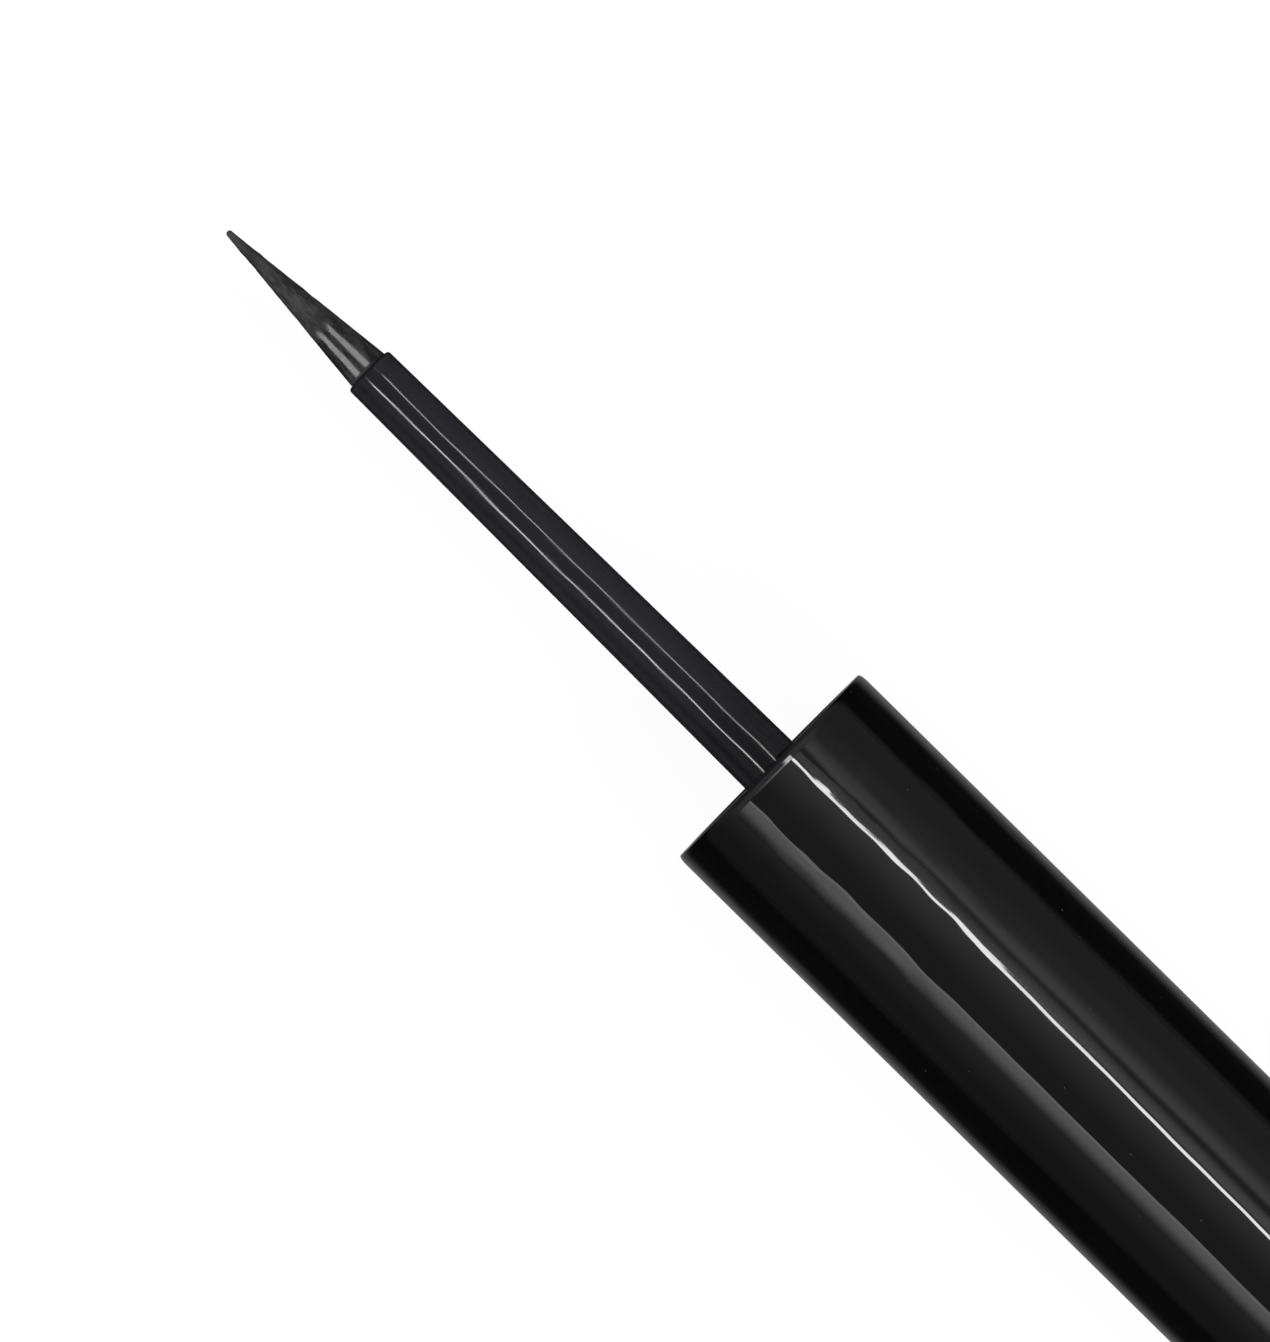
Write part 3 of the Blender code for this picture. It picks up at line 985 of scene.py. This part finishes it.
@dataclass
class Bottle:
    """The bottle half: sleeve, vial, wiper, plug, label, and the loose ring, washer and ball."""

    lathe: Lathe
    sleeve_wall: float = 0.95 * MM
    sleeve_shoulder: float = 0.9 * MM
    edge: float = 0.25 * MM
    soft: float = 0.12 * MM
    neck: float = 3.5 * MM
    crest: float = 4.0 * MM
    neck_bore: float = 2.9 * MM
    bead_from_shoulder: float = 1.8 * MM
    bead_width: float = 0.45 * MM
    vial_wall: float = 0.75 * MM
    vial_shoulder: float = 1.0 * MM
    vial_floor: float = 0.9 * MM
    collar_step: float = 1.2 * MM
    thread_from_shoulder: float = 6.6 * MM
    ring_hole: float = 3.8 * MM
    washer_hole: float = 1.92 * MM
    wiper_wall: float = 0.45 * MM
    wiper_radius: float = 2.6 * MM
    wiper_lip: float = 1.87 * MM
    wiper_flange: float = 0.5 * MM
    funnel: float = 2.5 * MM
    recess_radius: float = 4.7 * MM
    recess_depth: float = 0.5 * MM
    label_edge_share: float = 1 / 3
    spigot_length: float = 2.0 * MM
    spigot_radius: float = 5.0 * MM
    ball_subdivisions: int = 5
    shell_sides: int = 160
    slim_sides: int = 96

    @property
    def shoulder(self) -> float:
        """The place of the top of the sleeve along the axis."""
        return Span.of("bottle_sleeve").end

    def build_sleeve(self) -> None:
        """The glossy sleeve, drawn in over the vial's shoulder."""
        span = Span.of("bottle_sleeve")
        bore = span.radius - self.sleeve_wall
        hole = self.crest + self.edge
        outline = Outline()
        outline.to(span.start, bore).rise(span.start, span.radius, self.soft)
        outline.fall(span.end, span.radius, self.edge)
        outline.to(span.end, hole).to(span.end - self.sleeve_shoulder, hole)
        outline.to(span.end - self.sleeve_shoulder, bore)
        mesh = self.lathe.turn(outline, self.shell_sides)
        self.lathe.finish("sleeve", mesh, Body.BOTTLE, GlossBlack(), "bottle_sleeve")

    def build_vial(self) -> None:
        """The ink vial with its bead, thread and rounded mouth."""
        span = Span.of("vial")
        shoulder = self.shoulder
        top = shoulder - self.collar_step
        bead = shoulder + self.bead_from_shoulder
        bore = span.radius - self.vial_wall
        cavity_top = top - self.vial_shoulder
        floor = span.start + self.vial_floor
        soft = self.soft
        outline = Outline(bend_steps=6)
        outline.to(span.start, 0).rise(span.start, span.radius, self.edge)
        outline.fall(top, span.radius, self.edge)
        outline.to(top, self.crest).to(shoulder, self.crest).to(shoulder, self.neck)
        outline.to(bead, self.neck).rise(bead, self.crest, soft)
        outline.fall(bead + self.bead_width, self.crest, soft).to(bead + self.bead_width, self.neck)
        outline.fall(span.end, self.neck, soft)
        outline.to(span.end, self.neck_bore + soft)
        outline.bend(span.end - soft, self.neck_bore, Leave.ACROSS)
        outline.to(cavity_top, self.neck_bore).to(cavity_top, bore).to(floor, bore).to(floor, 0)
        mesh = self.lathe.turn(outline, self.slim_sides)
        piece = self.lathe.finish("ink_vial", mesh, Body.BOTTLE, VIAL_PLASTIC, "vial")
        start = shoulder + self.thread_from_shoulder
        self.lathe.join(piece, Thread().ridge(start, self.neck, self.crest))

    def build_wiper(self) -> None:
        """The wiper with its rolled flange and thin funnel lip."""
        span = Span.of("wiper")
        bore = self.wiper_radius - self.wiper_wall
        back = span.end - self.wiper_flange
        tube_end = span.start + self.funnel
        soft = self.wiper_flange / 2
        outline = Outline(bend_steps=6)
        outline.to(back, self.wiper_radius).rise(back, span.radius, soft)
        outline.bend(span.end, span.radius - soft, Leave.ALONG)
        outline.to(span.end, bore + soft).bend(span.end - soft, bore, Leave.ACROSS)
        outline.to(tube_end, bore).to(span.start, self.wiper_lip)
        outline.to(span.start, self.wiper_lip + self.soft).to(tube_end, self.wiper_radius)
        mesh = self.lathe.turn(outline, self.slim_sides)
        self.lathe.finish("neck_wiper", mesh, Body.BOTTLE, WIPER_PLASTIC, "wiper")

    def build_plug(self) -> None:
        """The base plug with the recess of the label."""
        span = Span.of("base_plug")
        flange = span.end - self.spigot_length
        outline = Outline()
        outline.to(span.start + self.recess_depth, 0).to(span.start + self.recess_depth, self.recess_radius)
        outline.to(span.start + self.soft, self.recess_radius)
        outline.bend(span.start, self.recess_radius + self.soft, Leave.ALONG)
        outline.rise(span.start, span.radius, self.edge)
        outline.to(flange, span.radius).to(flange, self.spigot_radius)
        outline.to(span.end, self.spigot_radius).to(span.end, 0)
        mesh = self.lathe.turn(outline, self.shell_sides)
        self.lathe.finish("plug", mesh, Body.BOTTLE, GlossBlack(), "base_plug")

    def build_label(self) -> None:
        """The blank label of the shade."""
        span = Span.of("shade_label")
        soft = (span.end - span.start) * self.label_edge_share
        outline = Outline(bend_steps=4)
        outline.to(span.end, 0).to(span.end, span.radius).to(span.start + soft, span.radius)
        outline.bend(span.start, span.radius - soft, Leave.ALONG)
        outline.to(span.start, 0)
        mesh = self.lathe.turn(outline, self.slim_sides)
        self.lathe.finish("blank_label", mesh, Body.BOTTLE, LABEL_FILM, "shade_label")

    def build_ring(self) -> None:
        """The trim ring that turns on the neck."""
        span = Span.of("shoulder_ring")
        outline = Outline()
        outline.to(span.start, self.ring_hole).rise(span.start, span.radius, self.edge)
        outline.fall(span.end, span.radius, self.edge).to(span.end, self.ring_hole)
        mesh = self.lathe.turn(outline, self.shell_sides)
        self.lathe.finish("trim_ring", mesh, Body.RING, GlossBlack(), "shoulder_ring")

    def build_washer(self) -> None:
        """The soft seal washer on the stem."""
        span = Span.of("seal_washer")
        outline = Outline(bend_steps=6)
        outline.to(span.start, self.washer_hole).rise(span.start, span.radius, self.edge)
        outline.fall(span.end, span.radius, self.edge).to(span.end, self.washer_hole)
        mesh = self.lathe.turn(outline, self.slim_sides)
        self.lathe.finish("seal_disc", mesh, Body.SEAL, SEAL_FOAM, "seal_washer")

    def build_ball(self) -> None:
        """The steel mixing ball."""
        low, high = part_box("mixing_ball")
        centre = (Vector(low) + Vector(high)) / 2
        mesh = bmesh.new()
        bmesh.ops.create_icosphere(
            mesh,
            subdivisions=self.ball_subdivisions,
            radius=(high[2] - low[2]) / 2,
            matrix=Matrix.Translation(centre),
        )
        self.lathe.finish("stirring_ball", mesh, Body.BALL, BallSteel(), "mixing_ball")

    def build(self) -> None:
        """Build and dress every piece of the bottle half and of the loose trim."""
        self.build_sleeve()
        self.build_vial()
        self.build_wiper()
        self.build_plug()
        self.build_label()
        self.build_ring()
        self.build_washer()
        self.build_ball()


@dataclass(frozen=True)
class Panel:
    """A lamp: a long panel above the object, facing the axis, brightest between its soft edges.

    Angles are turned about the long axis, in degrees from straight up, positive towards +Y. The low
    and the high edge fade over shares of the width, and the two ends over lengths.
    """

    name: str
    start: float
    end: float
    angle: float
    width: float
    radiance: float
    lit: Lit = Lit.SHELLS
    low_edge: float = 0.1
    high_edge: float = 0.1
    start_edge: float = 2.0 * MM
    end_edge: float = 2.0 * MM
    skew: float = 0.0
    narrow_share: float = 0.0
    wide_stretches: tuple[Pair, ...] = ()
    stretch_edge: float = 1.0 * MM
    tone: Colour = (1.0, 1.0, 1.0)

    @property
    def half_length(self) -> float:
        """Half the panel's length."""
        return (self.end - self.start) / 2

    @property
    def half_width(self) -> float:
        """Half the panel's width, which is given as it is seen from the axis."""
        return LAMP_DISTANCE * math.tan(math.radians(self.width / 2))

    def build(self) -> None:
        """Put the panel in the scene."""
        panel = add_sheet(self.name, self.half_length, self.half_width, self._glow())
        turn = math.radians(self.angle)
        facing = Matrix.Rotation(math.pi - turn, 4, "X") @ Matrix.Rotation(math.radians(self.skew), 4, "Z")
        panel.rotation_euler = facing.to_euler()
        spoke = Vector((0, math.sin(turn), math.cos(turn)))
        panel.location = AXIS + spoke * LAMP_DISTANCE + Vector(((self.start + self.end) / 2, 0, 0))
        panel.visible_camera = False
        panel.visible_shadow = False
        self.lit.aim(panel)

    def _glow(self) -> bpy.types.Material:
        """Make the panel's material.

        Returns:
            The material, which is clear and glows between the soft edges.
        """
        material, graph = new_material(self.name)
        along, across, _ = graph.parts(graph.place())
        past_high = across + self.half_width
        if self.wide_stretches:
            past_high = past_high - self._inset(along, across)
        low = (self.half_width - across).step(0.0, 2 * self.half_width * self.low_edge)
        high = past_high.step(0.0, 2 * self.half_width * self.high_edge)
        start = (along + self.half_length).step(0.0, self.start_edge)
        end = (self.half_length - along).step(0.0, self.end_edge)
        graph.shine(graph.tint(low * high * (start * end), (0.0, 0.0, 0.0), self.tone), self.radiance)
        return material

    def _inset(self, along: Signal, across: Signal) -> Signal:
        """Draw the high edge in outside the wide stretches.

        Args:
            along: The place along the panel.
            across: The place across it.

        Returns:
            How far the edge is drawn in.
        """
        skew = math.radians(self.skew)
        x = along * math.cos(skew) - across * math.sin(skew) + self.half_length
        wide: Operand = 0.0
        for begin, end in self.wide_stretches:
            opening = x.step(begin, begin + self.stretch_edge)
            wide = wide + opening * (1 - x.step(end, end + self.stretch_edge))
        return (1 - wide) * self.narrow_share * (2 * self.half_width)


def add_sheet(
    name: str, half_length: float, half_width: float, material: bpy.types.Material
) -> bpy.types.Object:
    """Add a flat piece to the stage.

    Args:
        name: The name of the piece.
        half_length: Half its size along X.
        half_width: Half its size along Y.
        material: Its material.

    Returns:
        The piece, which lies round the origin.
    """
    mesh = bmesh.new()
    size = Matrix.Diagonal((half_length, half_width, 1, 1))
    bmesh.ops.create_grid(mesh, x_segments=1, y_segments=1, size=1.0, matrix=size)
    data = bpy.data.meshes.new(name)
    mesh.to_mesh(data)
    mesh.free()
    data.materials.append(material)
    piece = bpy.data.objects.new(name, data)
    bpy.context.collection.objects.link(piece)
    return piece


def grey(level: float) -> tuple[float, float, float, float]:
    """Return a grey as a socket takes it."""
    return (level, level, level, 1.0)


@dataclass
class Studio:
    """The pale floor, the dark card that the flanks mirror, the lamps, the dome and the camera.

    The steps of the dome are along Y, from -1 to 1: where each begins and ends, and the level
    after it. The stretches of the key lamp are counted along X from its start.
    """

    lens: float = 400.0
    sensor: float = 36.0
    sight: float = 10.0
    image_height_px: float = 1342.0
    cap_width_px: float = 258.3
    axis_angle: float = 44.58
    rim_from_centre_px: float = 161.9
    axis_above_centre_px: float = 27.0
    floor_reach: float = 1.5
    floor_white: float = 1.012
    floor_paint: float = 0.86
    shadow_share: float = 0.05
    card_lift: float = 0.2 * MM
    card_black: float = 0.02
    cap_glow: float = 0.21
    cap_glow_span: Pair = (9.0 * MM, 15.5 * MM)
    stem_glow: float = 0.17
    stem_glow_span: Pair = (2.0 * MM, 22.0 * MM)
    far_glows: Pair = (0.07, 0.14)
    far_glow_span: Pair = (50.0 * MM, 150.0 * MM)
    dome_foot: float = 0.13
    dome_steps: tuple[tuple[float, float, float], ...] = (
        (-1.0, -0.8, 0.31),
        (-0.8, -0.5, 0.21),
        (0.0, 0.8, 0.35),
        (0.8, 1.0, 0.245),
    )
    lamp_lead: float = 14 * MM
    lamp_run: float = 400 * MM
    key_run: float = 90 * MM
    key_skew: float = 31.0
    key_narrow_share: float = 0.42
    key_stretches: tuple[Pair, ...] = (
        (12.8 * MM, 17.6 * MM),
        (20.8 * MM, 25.3 * MM),
        (30.1 * MM, 37.6 * MM),
    )
    cross_run: float = 45 * MM
    corner_run: float = 90 * MM
    front_run: float = 220 * MM
    front_overlap: float = 10 * MM
    front_tone: Colour = (0.93, 0.91, 1.13)
    fill_span: Pair = (250 * MM, 750 * MM)
    stem_lead: float = 20 * MM
    stem_overlap: float = 10 * MM
    tip_lamp_shift: float = -80 * MM
    tip_lamp_reach: float = 40 * MM

    @property
    def pixel(self) -> float:
        """Metres in one pixel of the photograph."""
        return 2 * CAP.radius / self.cap_width_px

    @property
    def camera_spot(self) -> Vector:
        """The place of the camera."""
        height = self.lens / self.sensor * self.image_height_px * self.pixel
        along = CAP.start - self.rim_from_centre_px * self.pixel
        return Vector((along, -self.axis_above_centre_px * self.pixel, CAP.height + height))

    def mirrored(self, x: float) -> float:
        """Return the place along a lamp that the straight wall at x mirrors to the camera."""
        spot = self.camera_spot
        return x + (x - spot.x) * LAMP_DISTANCE / (spot.z - CAP.height)

    def build_camera(self) -> None:
        """Look straight down through a long lens, turned so that the axis lies as in the photograph."""
        data = bpy.data.cameras.new("camera")
        data.lens = self.lens
        data.sensor_width = self.sensor
        data.clip_end = self.sight
        camera = bpy.data.objects.new("camera", data)
        bpy.context.collection.objects.link(camera)
        camera.location = self.camera_spot
        camera.rotation_euler = (0, 0, math.radians(self.axis_angle))
        bpy.context.scene.camera = camera

    def build_floor(self) -> None:
        """A white floor that keeps a faint shadow of the object."""
        material, graph = new_material("floor")
        path = graph.node("ShaderNodeLightPath")
        rays = ("Is Camera Ray", "Is Glossy Ray", "Is Transmission Ray")
        camera, gloss, through = (Signal(graph, path.outputs[ray]) for ray in rays)
        share = (camera + gloss + through) * (1 - self.shadow_share)
        paint = graph.add("ShaderNodeBsdfDiffuse", inputs={"Color": grey(self.floor_paint)})
        white = graph.add("ShaderNodeEmission", inputs={"Color": grey(1.0), "Strength": self.floor_white})
        graph.surface(graph.add("ShaderNodeMixShader", inputs={0: share, 1: paint, 2: white}))
        Lit.SHELLS.take(add_sheet("floor", self.floor_reach, self.floor_reach, material))

    def build_cards(self) -> None:
        """A black card on the floor that only gloss sees, and faint glows over it for shells and stem."""
        graph = self._lay_card("black_card", 1, Lit.ALL)
        black = {"Color": grey(self.card_black), "Strength": 1.0}
        graph.surface(graph.add("ShaderNodeEmission", inputs=black))
        graph = self._lay_card("shell_glow", 2, Lit.SHELLS)
        _, across, _ = graph.parts(graph.place())
        glow = (1 - abs(across).step(*self.cap_glow_span)) * self.cap_glow
        for side, level in zip((-1, 1), self.far_glows):
            glow = glow + (across * side).step(*self.far_glow_span) * level
        graph.shine(glow, 1.0)
        graph = self._lay_card("slim_glow", 3, Lit.SLIM)
        _, across, _ = graph.parts(graph.place())
        graph.shine(abs(across).step(*self.stem_glow_span), self.stem_glow)

    def _lay_card(self, name: str, layer: int, lit: Lit) -> Graph:
        """Lay a card that only gloss sees.

        Args:
            name: The name of the card and its material.
            layer: Its place in the stack, counted from the floor.
            lit: The pieces that it lights.

        Returns:
            The empty graph of its material.
        """
        material, graph = new_material(name)
        card = add_sheet(name, self.floor_reach, self.floor_reach, material)
        card.location.z = self.card_lift * layer
        card.visible_camera = False
        card.visible_diffuse = False
        card.visible_shadow = False
        card.visible_transmission = False
        lit.aim(card)
        return graph

    def build_dome(self) -> None:
        """A dim dome, lighter at both sides and darker at its foot, in front of a white background."""
        world = bpy.data.worlds.new("dome")
        world.use_nodes = True
        bpy.context.scene.world = world
        graph = Graph(world.node_tree)
        ray = graph.add("ShaderNodeLightPath", output="Is Camera Ray")
        direction = graph.add("ShaderNodeTexCoord", output="Generated")
        _, across, _ = graph.parts(direction)
        level: Operand = self.dome_foot
        before = self.dome_foot
        for begin, end, after in self.dome_steps:
            level = level + across.step(begin, end) * (after - before)
            before = after
        strength = ray + (1 - ray) * level
        sky = graph.add("ShaderNodeBackground", inputs={"Color": strength, "Strength": 1.0})
        graph.node("ShaderNodeOutputWorld", inputs={"Surface": sky})

    def build_lamps(self) -> None:
        """The lamps of the shells, and those of the stem and the tip."""
        rim = self.mirrored(CAP.start)
        for panel in self._shell_lamps(rim) + self._slim_lamps(rim):
            panel.build()

    def _shell_lamps(self, rim: float) -> list[Panel]:
        """Set the long lamps over the cap, and those in front of it, which its rim mirrors.

        Args:
            rim: The place along a lamp that the rim of the cap mirrors.

        Returns:
            The lamps.
        """
        start = rim - self.lamp_lead
        near = rim + self.key_run
        far = rim + self.lamp_run
        # A lamp's first values are its name, start, end, angle, width and radiance.
        return [
            Panel(
                "key",
                start,
                near,
                angle=15.85,
                width=4.5,
                radiance=19.0,
                start_edge=1.0 * MM,
                skew=self.key_skew,
                narrow_share=self.key_narrow_share,
                wide_stretches=self.key_stretches,
            ),
            Panel("halo", start, near, 24.0, 11.2, 0.55, high_edge=0.45, skew=self.key_skew),
            Panel("band", start, far, -43.45, 19.1, 1.70, low_edge=0.76, high_edge=0.03),
            Panel("ridge", start, far, -35.6, 3.4, 0.75, low_edge=0.6),
            Panel("side", start, far, 41.25, 21.5, 0.70, low_edge=0.27, high_edge=0.84),
            Panel("overhead", start, far, 3.5, 47.0, 0.50, low_edge=0.95, high_edge=0.2),
            Panel("cross", start - self.cross_run, start, -7.5, 53.0, 2.6, low_edge=0.95, start_edge=25 * MM),
            Panel("corner", start - self.corner_run, start, 14.0, 12.0, 10.0, low_edge=0.6),
            Panel(
                "front",
                start - self.front_run,
                start + self.front_overlap,
                angle=0.0,
                width=120.0,
                radiance=0.36,
                low_edge=0.3,
                high_edge=0.3,
                start_edge=90 * MM,
                end_edge=45 * MM,
                tone=self.front_tone,
            ),
        ]

    def _slim_lamps(self, rim: float) -> list[Panel]:
        """Set the lamp that fills every shadow, and the lamps of the stem and the tip.

        Args:
            rim: The place along a lamp that the rim of the cap mirrors.

        Returns:
            The lamps.
        """
        stem = (self.mirrored(Span.of("stem").start) - self.stem_lead, rim + self.stem_overlap)
        middle = self.mirrored(Span.of("felt_tip").start) + self.tip_lamp_shift
        tip = (middle - self.tip_lamp_reach, middle + self.tip_lamp_reach)
        return [
            Panel("fill", *self.fill_span, 0.0, 64.0, 6.5, lit=Lit.ALL),
            Panel("stem_low", *stem, -31.0, 5.0, 14.0, lit=Lit.STEM),
            Panel("stem_high", *stem, 26.3, 4.5, 8.0, lit=Lit.STEM),
            Panel("tip_low", *tip, -57.0, 38.0, 8.4, lit=Lit.FELT),
            Panel("tip_high", *tip, 15.0, 34.0, 8.4, lit=Lit.FELT),
        ]

    def build(self) -> None:
        """Build the stage, the light and the camera."""
        self.build_camera()
        self.build_floor()
        self.build_cards()
        self.build_dome()
        self.build_lamps()
        bpy.context.scene.view_settings.view_transform = "Standard"


def main() -> None:
    """Build the object and its stage."""
    logging.basicConfig(level=logging.INFO, format="%(name)s: %(message)s")
    lathe = Lathe()
    Applicator(lathe).build()
    Bottle(lathe).build()
    Studio().build()


if __name__ == "__main__":
    main()
